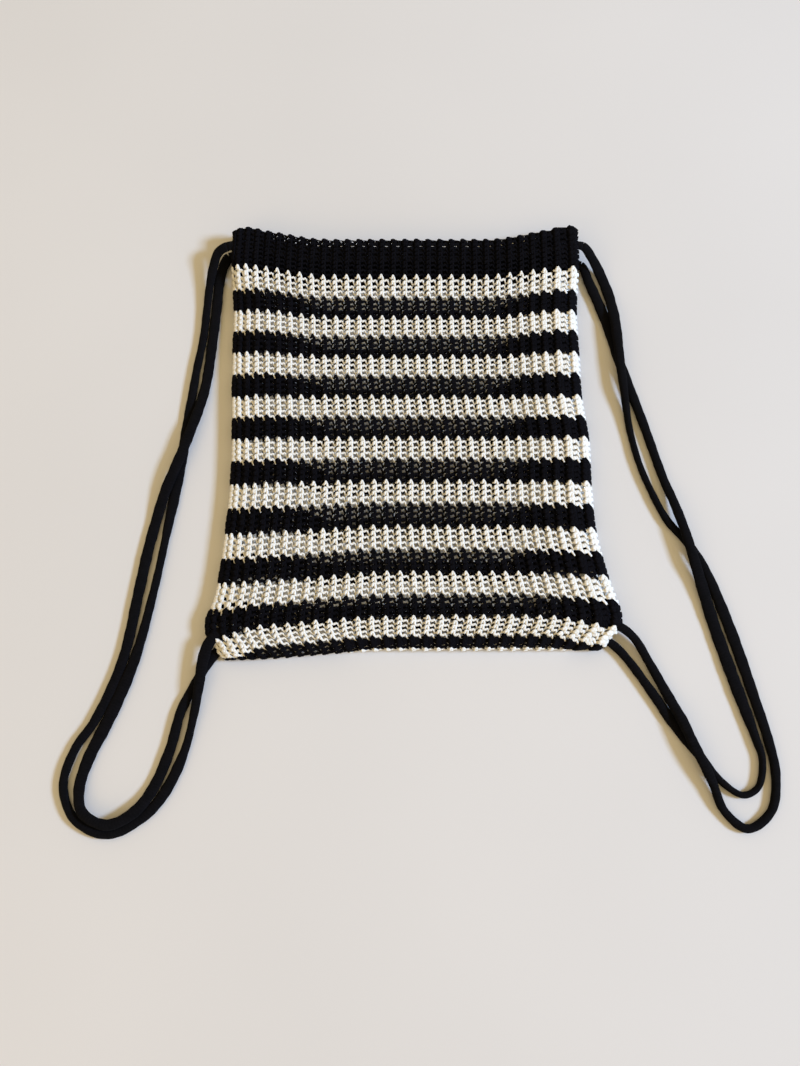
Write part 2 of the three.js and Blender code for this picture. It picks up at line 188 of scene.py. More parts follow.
# The spans over which a change of the cloth comes in and goes out again, by rows, and by the way across the
# bag from -1 at the left edge to 1 at the right.
CORNER_ROWS = ((56, 68), (73, 88))
TURNED_ROWS = ((68.5, 71.5), (74, 80))
BOTTOM_ROWS = ((67.5, 69), (73, 75))
BACK_ROWS = ((74, 86), (136, 143))
LUMP_ROWS = ((-11, -9.4), (-7, -4))
BACK_LUMP_ROWS = ((146, 149), (151, 153))
SHOULDER_ROWS = ((1, 5), (62, 70))
FOLD_ROWS = ((-9.8, -9), (-7.2, -6.4))
NEAR_FOLD_ROWS = ((-9.8, -9), (-6, -5.2))
OPEN_FOLD = ((-0.8, -0.7), (-0.25, -0.1))
NEXT_IVORY = ((-0.42, -0.25), (0.8, 0.9))

# How many rows the cloth slips: at the right and the left bottom corner, with the distance from the middle
# over which it does, along the bottom fold, where the next ivory shows, and on the back, at its start and how
# much less at its end.
RIGHT_SLIP = 2.1
RIGHT_SLIP_SPAN = (0.66, 1.0)
LEFT_SLIP = 2.6
LEFT_SLIP_SPAN = (0.74, 0.98)
FOLD_SLIP = -0.4
NEXT_IVORY_SLIP = -1.3
BACK_SLIP = 3.2
BACK_SLIP_LESS = 0.7
BACK_SLIP_SPAN = (0.42, 0.76)

# How far the mouth's folded edge stands up towards its corners and rounds off at them, in millimetres, with
# the distance from the middle over which it does.
LUMP = 1.7
LUMP_SPAN = (0.84, 0.9)
ROUND_OFF = 2.8
ROUND_OFF_SPAN = (0.95, 1.0)

# The left edge, where the cloth keeps up and drops straight to the back: its height and how far in from it
# the cloth reaches full height, in millimetres, the power of that rise, how steep the drop is, and the knots
# of each row before its first rib and after its last one.
LEFT_HEIGHT = 8.0
LEFT_SHOULDER = 30.0
LEFT_POWER = 1.5
LEFT_DROP = 1.2
LEAD_KNOTS = 7
TAIL_KNOTS = 5

# Pieces of the cloth: name, first and last row, stations a stitch, sides of the yarn's section, how wide the
# yarn is pressed, as a share, and what the piece lies on.
FRONT_PIECES = (
    ("bag_front_upper", FIRST_BODY_ROW, 23, 18, 6, 0.98, ["bag_back_upper"]),
    ("bag_front_middle", 24, 47, 18, 6, 0.98, ["bag_back_upper", "bag_back_lower"]),
    ("bag_front_lower", 48, FOLD_ROW - 1, 18, 6, 0.98, ["bag_back_lower"]),
)
HEM_PIECES = (
    ("hem_front", -8, FIRST_BODY_ROW - 1, 19, 6, 0.8, ["hem_front_inside"]),
    ("hem_front_inside", FIRST_HEM_ROW, -9, 12, 5, 0.98, ["hem_back"]),
    ("hem_back", BACK_HEM_ROW, LAST_ROW, 12, 5, 0.86, ["floor"]),
)
BACK_PIECES = (
    ("bag_back_lower", FOLD_ROW, 105, 12, 5, 1.3, ["floor"]),
    ("bag_back_upper", 106, BACK_HEM_ROW - 1, 12, 5, 1.3, ["floor"]),
)

# Tunnels in the hem: where each lies at the bag's middle and its height, in millimetres, the stops along them
# as shares of the way out to the side edge, and the stop where a strand begins to move to its exit lane.
TUNNELS = {"front": (175.0, 16.4), "back": (166.5, 3.3)}
HEM_STOPS = np.array([-0.8, -0.66, -0.5, 0.0, 0.5, 0.66, 0.8, 0.92, 1.02])
EXIT_START = 0.8

# A strand's waves (share of the width, length in millimetres and phase), the steps of each span of its route,
# and the stations and sides of its stretch in the hem and of its strap.
CORD_WAVES = ((0.03, 23, 0), (0.02, 9.5, 1))
ROUTE_STEPS = 24
IN_HEM_DETAIL = (120, 12)
STRAP_DETAIL = (420, 20)

# Each strand of the drawcords: its tunnel, its side, how far up from the tunnel's middle it lies and where
# it leaves it, in millimetres, its route in metres from the hem's open end to the bottom corner, and its
# width in millimetres along that route.
STRANDS = {
    "cord_left_front": {
        "tunnel": "front",
        "side": -1,
        "lane": 4.2,
        "exit_lane": -1.7,
        "route": [
            (-0.1845, 0.18, 0.0138), (-0.19, 0.166, 0.0092), (-0.1932, 0.148, 0.0056),
            (-0.195, 0.126, 0.0036), (-0.197, 0.096, 0.0029), (-0.2015, 0.064, 0.0028),
            (-0.207, 0.01, 0.0028), (-0.212, -0.038, 0.0028), (-0.218, -0.08, 0.0028),
            (-0.2275, -0.143, 0.0028), (-0.2405, -0.204, 0.0028), (-0.259, -0.254, 0.0028),
            (-0.273, -0.286, 0.003), (-0.278, -0.31, 0.0044), (-0.273, -0.328, 0.0066),
            (-0.252, -0.3375, 0.0074), (-0.231, -0.328, 0.0064), (-0.2175, -0.31, 0.003),
            (-0.205, -0.278, 0.0028),
            (-0.1975, -0.246, 0.0028), (-0.187, -0.224, 0.0028), (-0.1755, -0.204, 0.0028),
            (-0.1655, -0.1925, 0.0032), (-0.156, -0.187, 0.005),
        ],
        "widths": [
            (0.0, 9.8), (0.03, 8.8), (0.07, 7.5), (0.18, 7.6), (0.24, 9.4), (0.335, 9.8), (0.36, 9.2),
            (0.4, 7.0), (0.5, 8.2), (0.58, 11.0), (0.64, 10.6), (0.69, 9.4), (0.73, 8.6), (0.79, 9.4),
            (0.84, 9.4), (0.87, 8.8), (0.92, 8.4), (1.0, 9.0),
        ],
    },
    "cord_left_back": {
        "tunnel": "back",
        "side": -1,
        "lane": 4.2,
        "exit_lane": 3.3,
        "route": [
            (-0.1805, 0.174, 0.0033), (-0.1842, 0.157, 0.0031), (-0.186, 0.126, 0.0029),
            (-0.188, 0.096, 0.0028), (-0.1915, 0.054, 0.003), (-0.195, 0.032, 0.005),
            (-0.202, 0.005, 0.0076), (-0.208, -0.014, 0.0079), (-0.215, -0.034, 0.0078),
            (-0.222, -0.052, 0.0058), (-0.2295, -0.08, 0.003), (-0.235, -0.107, 0.0028),
            (-0.2405, -0.143, 0.0028), (-0.2505, -0.204, 0.0028), (-0.27, -0.254, 0.0028),
            (-0.285, -0.278, 0.0028), (-0.292, -0.307, 0.0028), (-0.28, -0.334, 0.0028),
            (-0.252, -0.3455, 0.0028), (-0.222, -0.33, 0.0028), (-0.2065, -0.311, 0.0028),
            (-0.1925, -0.278, 0.0028), (-0.186, -0.248, 0.0048), (-0.1825, -0.225, 0.0078),
            (-0.18, -0.204, 0.0086), (-0.1745, -0.188, 0.01), (-0.166, -0.181, 0.0096),
            (-0.157, -0.1755, 0.0062),
        ],
        "widths": [
            (0.0, 10.2), (0.05, 9.8), (0.2, 9.6), (0.42, 9.8), (0.54, 8.6), (0.6, 7.8), (0.72, 7.4),
            (0.77, 8.8), (0.83, 9.2), (0.865, 6.8), (0.9, 7.8), (0.96, 10.0), (1.0, 9.0),
        ],
    },
    "cord_right_front": {
        "tunnel": "front",
        "side": 1,
        "lane": -4.2,
        "exit_lane": -1.0,
        "route": [
            (0.1709, 0.1755, 0.0112), (0.1804, 0.1601, 0.0042), (0.1866, 0.1412, 0.0036),
            (0.1885, 0.128, 0.0056), (0.19, 0.115, 0.0076), (0.1915, 0.092, 0.0079), (0.1925, 0.068, 0.0079),
            (0.1942, 0.046, 0.0074), (0.1962, 0.026, 0.0046), (0.1985, 0.006, 0.0029),
            (0.205, -0.026, 0.0028), (0.214, -0.052, 0.0028), (0.227, -0.08, 0.0028),
            (0.244, -0.101, 0.0028), (0.257, -0.125, 0.0028), (0.2745, -0.178, 0.0028),
            (0.29, -0.237, 0.0028), (0.298, -0.27, 0.0028), (0.3015, -0.298, 0.0028),
            (0.295, -0.327, 0.0028), (0.274, -0.341, 0.0028), (0.256, -0.327, 0.003),
            (0.2475, -0.305, 0.0058), (0.241, -0.29, 0.0076), (0.234, -0.275, 0.0079),
            (0.2255, -0.254, 0.0074), (0.2174, -0.237, 0.0046), (0.201, -0.204, 0.0038),
            (0.19, -0.1855, 0.0066), (0.18, -0.177, 0.009), (0.169, -0.172, 0.0092),
            (0.16, -0.1685, 0.0058),
        ],
        "widths": [
            (0.0, 8.6), (0.04, 10.2), (0.1, 10.0), (0.16, 8.8), (0.24, 6.4), (0.32, 6.2), (0.42, 8.6),
            (0.5, 10.4), (0.6, 8.8), (0.68, 7.6), (0.77, 7.4), (0.81, 8.8), (0.88, 9.0), (0.93, 7.8),
            (1.0, 7.8),
        ],
    },
    "cord_right_back": {
        "tunnel": "back",
        "side": 1,
        "lane": -4.2,
        "exit_lane": -4.2,
        "route": [
            (0.1685, 0.155, 0.0032), (0.1765, 0.133, 0.0029), (0.1845, 0.108, 0.0028),
            (0.1935, 0.072, 0.0028), (0.2105, 0.015, 0.0028), (0.2265, -0.043, 0.0033),
            (0.233, -0.064, 0.006), (0.2385, -0.084, 0.0077), (0.2425, -0.1, 0.0079),
            (0.2465, -0.117, 0.0074), (0.252, -0.138, 0.0046), (0.2595, -0.169, 0.0028),
            (0.2735, -0.22, 0.0028), (0.2875, -0.268, 0.0028), (0.2915, -0.286, 0.0028),
            (0.286, -0.308, 0.0028), (0.273, -0.3145, 0.0028), (0.256, -0.304, 0.0028),
            (0.237, -0.28, 0.0028), (0.2175, -0.254, 0.0028), (0.2075, -0.238, 0.0028),
            (0.185, -0.2045, 0.0028), (0.175, -0.193, 0.0029), (0.1645, -0.185, 0.0036),
            (0.155, -0.179, 0.0056),
        ],
        "widths": [
            (0.0, 8.2), (0.04, 10.0), (0.14, 9.8), (0.3, 8.2), (0.42, 9.2), (0.48, 10.6), (0.57, 11.0),
            (0.62, 10.2), (0.66, 7.4), (0.7, 5.8), (0.76, 5.8), (0.81, 8.6), (0.87, 9.0), (0.92, 7.8),
            (1.0, 7.8),
        ],
    },
}

# Floor, lights and camera, in metres and degrees, and the colours of the lights.
FLOOR_HALF = 6.0
FLOOR_SHADE = 0.96
LIGHT_AIM = (0.0, -0.05, 0.0)
KEY_PLACE = (6.05, -0.14, 3.5)
KEY_SIZE = (1.6, 1.2)
KEY_COLOUR = (0.49, 0.671, 1.0)
FILL_PLACE = (-1.6, -1.6, 1.2)
FILL_SIZE = (1.0, 1.0)
FILL_COLOUR = "#ffd9a8"
HORIZON_COLOUR = (0.62, 0.6, 0.57)
SKY_COLOUR = (0.62, 0.482, 0.255)
CAMERA_PLACE = (-0.0119, -0.2573, 0.722)
CAMERA_TILT = 13
CAMERA_LENS = 28.0
CAMERA_SENSOR = 36.0


def linear(code):
    """Linear RGB of an sRGB hex colour: each channel c is c / 12.92 below 0.04045, else ((c + 0.055) / 1.055)
    to the power 2.4."""
    channels = np.array([int(code[i:i + 2], 16) for i in (1, 3, 5)]) / 255
    return tuple(np.where(channels < 0.04045, channels / 12.92, ((channels + 0.055) / 1.055) ** 2.4))


def smoothstep(low, high, value):
    """Rises from 0 at low to 1 at high as 3t² - 2t³."""
    t = np.clip((value - low) / (high - low), 0, 1)
    return t * t * (3 - 2 * t)


def band(value, rise, fall):
    """Rises from 0 to 1 over one span of the value, and falls back to 0 over another."""
    return smoothstep(*rise, value) * (1 - smoothstep(*fall, value))


def cubic(t, start, leave, end, reach):
    """The cubic from start at t = 0 to end at t = 1 whose slopes there are leave and reach."""
    return (
        (2 * t**3 - 3 * t**2 + 1) * start
        + (t**3 - 2 * t**2 + t) * leave
        + (3 * t**2 - 2 * t**3) * end
        + (t**3 - t**2) * reach
    )


def through(table, at):
    """Smooth values of a table's other columns where its first column is `at`: a cubic between each two
    lines, whose slope at a line is that from the line before it to the line after it."""
    stations = table[:, 0]
    before = table[np.maximum(np.arange(len(table)) - 1, 0)]
    after = table[np.minimum(np.arange(len(table)) + 1, len(table) - 1)]
    slopes = (after[:, 1:] - before[:, 1:]) / (after[:, :1] - before[:, :1])
    at = np.clip(at, stations[0], stations[-1])
    span = np.clip(np.searchsorted(stations, at, side="right") - 1, 0, len(stations) - 2)
    run = (stations[span + 1] - stations[span])[..., None]
    t = (at - stations[span])[..., None] / run
    return cubic(t, table[span, 1:], run * slopes[span], table[span + 1, 1:], run * slopes[span + 1])


def on_course(middle, across, insets=(0.0, 0.0)):
    """Place in plan and distance from the side edge of a point on the course that lies at `middle`, where
    across runs from -1 at the left edge to 1 at the right, each drawn in by its inset: x is even between the
    ends, and y rises by the course's left or right rise as a smooth step of the distance from the middle."""
    left_rise, right_rise, left, right, left_start = np.moveaxis(through(COURSES, middle), -1, 0)
    width = right - left - sum(insets)
    x = left + insets[0] + width * (across + 1) / 2
    rise = np.where(across < 0, left_rise, right_rise)
    start = np.where(across < 0, left_start, RIGHT_RISE_START)
    y = middle + rise * smoothstep(start, RISE_END, np.abs(across))
    return x, y, (1 - np.abs(across)) * width / 2


def rib_place(rib):
    """Where a rib lies across the bag, from -1 at the left edge to 1 at the right: its share of the width,
    less a part that grows as 1 - exp(-share / reach) from the left edge, where the ribs crowd, shrinks evenly
    to the right, and ends as a square root at the right edge."""
    share = np.clip(rib, OUTERMOST_RIB, RIB_SPAN - OUTERMOST_RIB) / RIB_SPAN
    ended = np.sqrt(np.minimum(1, (1 - share) / CROWD_END))
    crowded = CROWDING * (1 - np.exp(-share / CROWD_REACH)) * (1 - CROWD_SHRINK * share) * ended
    return 2 * (share - crowded) - 1


def cloth_slip(across, row):
    """How many rows the cloth slips along its way. At the bottom corners the ivory comes right down to the
    fold, as a smooth step of the distance from the middle, along the fold the cloth slips a little more
    towards the left, and right at the fold the next ivory shows. On the back the stripes meet those of the
    front at the side edges, and sag towards the bottom between them."""
    at_corner = (
        RIGHT_SLIP * smoothstep(*RIGHT_SLIP_SPAN, across)
        + LEFT_SLIP * smoothstep(*LEFT_SLIP_SPAN, -across)
        + FOLD_SLIP * across
    )
    next_ivory = NEXT_IVORY_SLIP * band(across, *NEXT_IVORY)
    up_back = (row - FOLD_ROW) / (BACK_HEM_ROW - FOLD_ROW)
    on_back = (BACK_SLIP - BACK_SLIP_LESS * up_back) * smoothstep(*BACK_SLIP_SPAN, np.abs(across))
    return (
        at_corner * band(row, *CORNER_ROWS)
        + next_ivory * band(row, *TURNED_ROWS)
        + on_back * band(row, *BACK_ROWS)
    )


def corner_lump(across, row):
    """How far the mouth's folded edge, front and back, stands up towards its corners and rounds off at them,
    in millimetres, by smooth steps of the distance from the middle."""
    out = np.abs(across)
    at_edge = band(row, *LUMP_ROWS) + band(row, *BACK_LUMP_ROWS)
    return (LUMP * smoothstep(*LUMP_SPAN, out) - ROUND_OFF * smoothstep(*ROUND_OFF_SPAN, out)) * at_edge


def cloth_middle(rib, row):
    """Middle surface of the cloth, in millimetres, by rib from the left edge and row: the row's line of the
    cloth's way gives its course and heights, and from the side edge the height rises as a quarter ellipse.
    Down the front's left edge it rises instead as 1 - (1 - t) to the left edge's power from a shoulder, and
    ribs before the first one drop straight down from that."""
    across = rib_place(rib)
    way = through(CLOTH_WAY, row + cloth_slip(across, row))
    middle, height, edge, rounding, relief = np.moveaxis(way, -1, 0)
    x, y, inward = on_course(middle, across, EDGE_INSETS)
    risen = np.sqrt(1 - np.maximum(0, 1 - inward / rounding) ** 2)
    rounded = edge + (height - edge) * risen
    sloped = 1 - np.maximum(0, 1 - inward / LEFT_SHOULDER) ** LEFT_POWER
    dropped = LEFT_DROP * RIB_PITCH * np.maximum(0, -rib)
    shoulder = LEFT_HEIGHT + (height - LEFT_HEIGHT) * sloped - dropped
    z = rounded + (shoulder - rounded) * (across < 0) * band(row, *SHOULDER_ROWS)
    return np.stack([x, y + corner_lump(across, row), z], axis=-1), relief


def unit(vectors):
    """Vectors divided by their lengths."""
    return vectors / np.linalg.norm(vectors, axis=-1, keepdims=True)


def yarn_rows(first, last, samples, stripe):
    """Centres, cloth normals, widths and thicknesses of the yarn of the rows first to last, in millimetres. A
    row's yarn repeats the stitch rib by rib, from the top of the one on the left edge to that on the right,
    each a little uneven, and lies closer near the edges. In a stripe's first row the top of each stitch is
    drawn in to a tip, by a smooth step of the knots from it, and at the mouth's fold the thin loops are
    fuller. A point stands out of the cloth along its normal, the cross product of the cloth's slopes along
    the rows and along the ribs."""
    rng = np.random.default_rng(SEED + first - FIRST_HEM_ROW)
    knots = len(STITCH)
    table = np.column_stack([np.arange(knots + 1), np.vstack([STITCH, STITCH[0] + (RIB_PITCH, 0, 0, 0, 0)])])
    lead = LEAD_KNOTS if first >= FIRST_BODY_ROW and last < FOLD_ROW else 0
    ends = (STITCH_TOP - lead, RIBS * knots + STITCH_TOP + TAIL_KNOTS)
    turn = np.linspace(*ends, (ends[1] - ends[0]) * samples // knots + 1)
    number = np.floor(turn / knots).astype(int)
    across, up, out, wide, thick = through(table, turn - number * knots).T
    rows = np.arange(first, last + 1, dtype=float)[:, None]
    uneven = rng.normal(0, 1, (3, len(rows), RIBS + 1))[:, :, number]
    from_top = np.abs(turn - number * knots - STITCH_TOP)
    starts = (rows % stripe == 0) & (rows >= FIRST_BODY_ROW) & (rows < BACK_HEM_ROW)
    tip = starts * (1 - smoothstep(*TIP_KNOTS, from_top))
    rib = number + (across * (1 - TIP_DRAWN_IN * tip) + UNEVEN_ACROSS * uneven[0]) / RIB_PITCH
    row = rows - up - TIP_RISE * tip + STITCH_DROP + UNEVEN_ROW * uneven[1]
    place, relief = cloth_middle(rib, row)
    step = 0.05
    inner = np.clip(rib, 3 * step, RIBS - 3 * step)
    along = cloth_middle(inner + step, row)[0] - cloth_middle(inner - step, row)[0]
    down = cloth_middle(inner, row + step)[0] - cloth_middle(inner, row - step)[0]
    normal = unit(np.cross(down, along))
    swell = 1 + UNEVEN_SWELL * uneven[2]
    sideways = rib * 2 / RIBS - 1
    closed = band(row, *NEAR_FOLD_ROWS) * (1 - band(sideways, *OPEN_FOLD))
    wide = wide * (1 - TIP_THINNED * tip) + np.maximum(0, FOLD_LEAST - wide) * closed
    filled = 1 + FOLD_FILL * band(row, *FOLD_ROWS) + BOTTOM_FILL * band(row, *BOTTOM_ROWS)
    for fill, span in EDGE_FILLS:
        filled = filled + fill * smoothstep(*span, np.abs(sideways))
    wide = wide * swell * filled
    return place + normal * (out * relief)[..., None], normal, wide, thick * swell


def tubes(centres, normals, wide, thick, sides):
    """Points round each path of `centres`, paths by stations by sides: an ellipse in the plane across the
    path, its thick axis as near the normal as that plane allows."""
    ahead = unit(np.gradient(centres, axis=1))
    side = unit(np.cross(ahead, normals))
    up = np.cross(side, ahead)
    angle = np.arange(sides) * 2 * math.pi / sides
    ring = (
        side[:, :, None] * (np.cos(angle)[:, None] * wide[..., None, None])
        + up[:, :, None] * (np.sin(angle)[:, None] * thick[..., None, None])
    )
    return centres[:, :, None] + ring


def put_tubes(name, points, lengths, finishes, finish_of):
    """Mesh object of closed tubes from their ring points in millimetres: quads between neighbouring rings and
    a flat cap at each end. The UV map has the way along in millimetres and the share of the way round."""
    paths, stations, sides = points.shape[:3]
    index = np.arange(paths * stations * sides).reshape(paths, stations, sides)
    here, ahead = index[:, :-1], index[:, 1:]
    quads = np.stack([here, ahead, np.roll(ahead, -1, axis=2), np.roll(here, -1, axis=2)], axis=-1)
    quads = quads.reshape(-1, 4)
    caps = np.concatenate([index[:, 0], index[:, -1, ::-1]])
    mesh = bpy.data.meshes.new(name)
    mesh.vertices.add(index.size)
    mesh.vertices.foreach_set("co", (points * MM).astype(np.float32).ravel())
    loops = np.concatenate([quads.ravel(), caps.ravel()])
    sizes = np.concatenate([np.full(len(quads), 4), np.full(len(caps), sides)])
    mesh.loops.add(len(loops))
    mesh.loops.foreach_set("vertex_index", loops)
    mesh.polygons.add(len(sizes))
    mesh.polygons.foreach_set("loop_start", np.concatenate([[0], np.cumsum(sizes)[:-1]]))
    of_path = np.concatenate([
        np.repeat(finish_of, (stations - 1) * sides),
        np.tile(finish_of, 2),
    ])
    mesh.polygons.foreach_set("material_index", of_path)
    mesh.polygons.foreach_set("use_smooth", np.ones(len(sizes), dtype=bool))
    way = np.broadcast_to(lengths[:, :, None], index.shape)
    turn = np.broadcast_to(np.arange(sides) / sides, index.shape)
    uv = np.stack([way.ravel()[loops], turn.ravel()[loops]], axis=-1)
    last_side = (np.arange(len(quads)) % sides) == sides - 1
    uv[:len(quads) * 4].reshape(-1, 4, 2)[last_side, 2:, 1] = 1.0
    mesh.uv_layers.new(name="Along and round").data.foreach_set("uv", uv.astype(np.float32).ravel())
    for finish in finishes:
        mesh.materials.append(finish)
    mesh.update(calc_edges=True)
    if mesh.validate():
        raise RuntimeError(f"{name}: the mesh had faults")
    piece = bpy.data.objects.new(name, mesh)
    bpy.context.scene.collection.objects.link(piece)
    return piece


def way_along(centres):
    """Distance along each path up to each of its stations."""
    steps = np.linalg.norm(np.diff(centres, axis=1), axis=-1)
    return np.concatenate([np.zeros((len(centres), 1)), np.cumsum(steps, axis=1)], axis=1)


def node(tree, kind, links=None, inputs=None, **settings):
    """Adds a node with these settings: inputs has values for its sockets, and links has sockets of earlier
    nodes to join to them."""
    added = tree.nodes.new(kind)
    for key, value in (inputs or {}).items():
        added.inputs[key].default_value = value
    for key, value in settings.items():
        setattr(added, key, value)
    for key, socket in (links or {}).items():
        tree.links.new(socket, added.inputs[key])
    return added


def calc(tree, operation, *terms):
    """Adds a math node over terms, each a socket or a number, and returns its result."""
    numbers = {k: term for k, term in enumerate(terms) if isinstance(term, (int, float))}
    sockets = {k: term for k, term in enumerate(terms) if k not in numbers}
    return node(tree, "ShaderNodeMath", sockets, operation=operation, inputs=numbers).outputs[0]


def along_and_round(tree):
    """Adds a tube's UV map, and returns the way along in millimetres and the share of the way round."""
    where = node(tree, "ShaderNodeUVMap")
    split = node(tree, "ShaderNodeSeparateXYZ", {"Vector": where.outputs["UV"]})
    return split.outputs["X"], split.outputs["Y"]


def mottled(tree, **inputs):
    """Adds a noise that is fixed to the object, and returns its value."""
    place = node(tree, "ShaderNodeTexCoord")
    return node(tree, "ShaderNodeTexNoise", {"Vector": place.outputs["Object"]}, inputs=inputs).outputs["Fac"]


def two_tone(tree, value, low, first, high, second):
    """Adds a ramp from the first colour, up to the value low, to the second, from the value high on."""
    ramp = node(tree, "ShaderNodeValToRGB", {"Fac": value})
    for element, at, colour in zip(ramp.color_ramp.elements, (low, high), (first, second)):
        element.position = at
        element.color = (*colour, 1)
    return ramp.outputs["Color"]


def new_material(name):
    """An empty material with nodes, and its tree."""
    material = bpy.data.materials.new(name)
    material.use_nodes = True
    material.node_tree.nodes.clear()
    return material, material.node_tree


def cotton_yarn(name, light, dark, twist, gloss, fuzz):
    """Spun and plied cotton, soft and matt: slanting plies along each strand, with painted shade in the
    grooves between them, small random differences of tone from stretch to stretch, and short fibres that
    catch the light at the edges."""
    material, tree = new_material(name)
    along, round_share = along_and_round(tree)
    spiral = calc(tree, "ADD", calc(tree, "DIVIDE", along, twist), round_share)
    ply = calc(tree, "SINE", calc(tree, "MULTIPLY", spiral, 2 * math.pi))
    # The ramp's dark end comes in where the ply's sine is low, so the grooves between plies get painted
    # shade; the noise adds random mottle.
    shade = calc(tree, "MULTIPLY_ADD", ply, 0.16, mottled(tree, Scale=140.0, Detail=3.0, Roughness=0.6))
    colour = two_tone(tree, shade, 0.25, dark, 0.7, light)
    bump = node(tree, "ShaderNodeBump", {"Height": ply}, inputs={"Strength": 0.5, "Distance": 0.15 * MM})
    surface = node(
        tree, "ShaderNodeBsdfPrincipled", {"Base Color": colour, "Normal": bump.outputs["Normal"]},
        inputs={"Roughness": 0.92, "Specular IOR Level": gloss, "Sheen Weight": fuzz, "Sheen Roughness": 0.6},
    )
    node(tree, "ShaderNodeOutputMaterial", {"Surface": surface.outputs[0]})
    return material


def cotton_cord(name, light, dark):
    """Soft knitted cotton cord, matt black: fine rows of slanting stitches that just break up the surface,
    with painted shade between the stitches, and a little sheen from loose fibres."""
    material, tree = new_material(name)
    stitches_round = 5
    row_length = 2.6
    along, round_share = along_and_round(tree)
    ribs = calc(tree, "SINE", calc(tree, "MULTIPLY", round_share, 2 * stitches_round * math.pi))
    rows = calc(tree, "SINE", calc(tree, "MULTIPLY_ADD", along, 2 * math.pi / row_length, ribs))
    # The ramp's dark end comes in where the stitches' sine is low, so the cord gets painted shade between its
    # stitches; the noise adds random mottle.
    shade = calc(tree, "MULTIPLY_ADD", rows, 0.12, mottled(tree, Scale=220.0, Detail=3.0, Roughness=0.65))
    colour = two_tone(tree, shade, 0.3, dark, 0.72, light)
    bump = node(tree, "ShaderNodeBump", {"Height": shade}, inputs={"Strength": 0.6, "Distance": 0.25 * MM})
    surface = node(
        tree, "ShaderNodeBsdfPrincipled", {"Base Color": colour, "Normal": bump.outputs["Normal"]},
        inputs={"Roughness": 0.95, "Specular IOR Level": 0.05, "Sheen Weight": 0.01, "Sheen Roughness": 0.6},
    )
    node(tree, "ShaderNodeOutputMaterial", {"Surface": surface.outputs[0]})
    return material


def painted_board(name, light, dark):
    """Smooth matt painted board: nearly one colour, with broad, faint differences of shade."""
    material, tree = new_material(name)
    colour = two_tone(tree, mottled(tree, Scale=2.5, Detail=2.0), 0.3, dark, 0.7, light)
    surface = node(
        tree, "ShaderNodeBsdfPrincipled", {"Base Color": colour},
        inputs={"Roughness": 0.85, "Specular IOR Level": 0.2},
    )
    node(tree, "ShaderNodeOutputMaterial", {"Surface": surface.outputs[0]})
    return material


class KnitSettings(bpy.types.PropertyGroup):
    """Sizes and colours of the knitted bag."""

    ivory_fullness: bpy.props.FloatProperty(
        name="Ivory fullness", description="How full the ivory yarn is, against its usual width",
        default=1.08, min=0.3,
    )
    black_fullness: bpy.props.FloatProperty(
        name="Black fullness", description="How full the black yarn is, against its usual width",
        default=1.36, min=0.3,
    )
    stripe_rows: bpy.props.IntProperty(
        name="Stripe rows", description="Rows of stitches in each stripe", default=4, min=1,
    )
    ivory: bpy.props.FloatVectorProperty(
        name="Ivory", description="Colour of the ivory yarn", default=linear("#f7f4ec"), subtype="COLOR",
    )
    # Dark end of the ivory yarn's colour ramp: painted shade in the grooves between plies, and random mottle.
    ivory_groove_shade_and_mottle: bpy.props.FloatVectorProperty(
        name="Ivory shade", description="Ivory yarn between its plies",
        default=linear("#e8e3d4"), subtype="COLOR",
    )
    black: bpy.props.FloatVectorProperty(
        name="Black", description="Colour of the black yarn", default=linear("#0f0e12"), subtype="COLOR",
    )
    # Dark end of the black yarn's colour ramp: painted shade in the grooves between plies, and random mottle.
    black_groove_shade_and_mottle: bpy.props.FloatVectorProperty(
        name="Black shade", description="Black yarn between its plies",
        default=linear("#08070a"), subtype="COLOR",
    )


class CordSettings(bpy.types.PropertyGroup):
    """Sizes and colours of the drawcords."""

    section: bpy.props.FloatProperty(
        name="Section", description="Width times thickness of a strand, in square metres",
        default=40 * MM * MM, precision=6,
    )
    thinnest: bpy.props.FloatProperty(
        name="Thinnest", description="Thickness of a strand that lies flat", default=4.0 * MM, unit="LENGTH",
    )
    thickest: bpy.props.FloatProperty(
        name="Thickest", description="Thickness of a strand that is round", default=5.0 * MM, unit="LENGTH",
    )
    black: bpy.props.FloatVectorProperty(
        name="Black", description="Colour of the cord", default=linear("#100f12"), subtype="COLOR",
    )
    # Dark end of the cord's colour ramp: painted shade between its stitches, and random mottle.
    black_groove_shade_and_mottle: bpy.props.FloatVectorProperty(
        name="Black shade", description="Cord between its stitches",
        default=linear("#09090b"), subtype="COLOR",
    )


class StageSettings(bpy.types.PropertyGroup):
    """Floor, lights and camera."""

    floor: bpy.props.FloatVectorProperty(
        name="Floor", description="Colour of the floor", default=linear("#e4e2df"), subtype="COLOR",
    )
    key_power: bpy.props.FloatProperty(
        name="Key light", description="Power of the light from the right", default=620.0, unit="POWER",
    )
    fill_power: bpy.props.FloatProperty(
        name="Fill light", description="Power of the light from the lower left", default=6.0, unit="POWER",
    )
    ambient: bpy.props.FloatProperty(
        name="Ambient light", description="Strength of the light from all round", default=1.0, min=0.0,
    )


def yarns(settings):
    """The ivory and the black yarn's materials, made once."""
    named = {
        "ivory cotton yarn": (settings.ivory, settings.ivory_groove_shade_and_mottle, 0.2, 0.12),
        "black cotton yarn": (settings.black, settings.black_groove_shade_and_mottle, 0.05, 0.0),
    }
    twist = 2.4
    return [
        bpy.data.materials.get(name) or cotton_yarn(name, light, dark, twist, gloss, fuzz)
        for name, (light, dark, gloss, fuzz) in named.items()
    ]


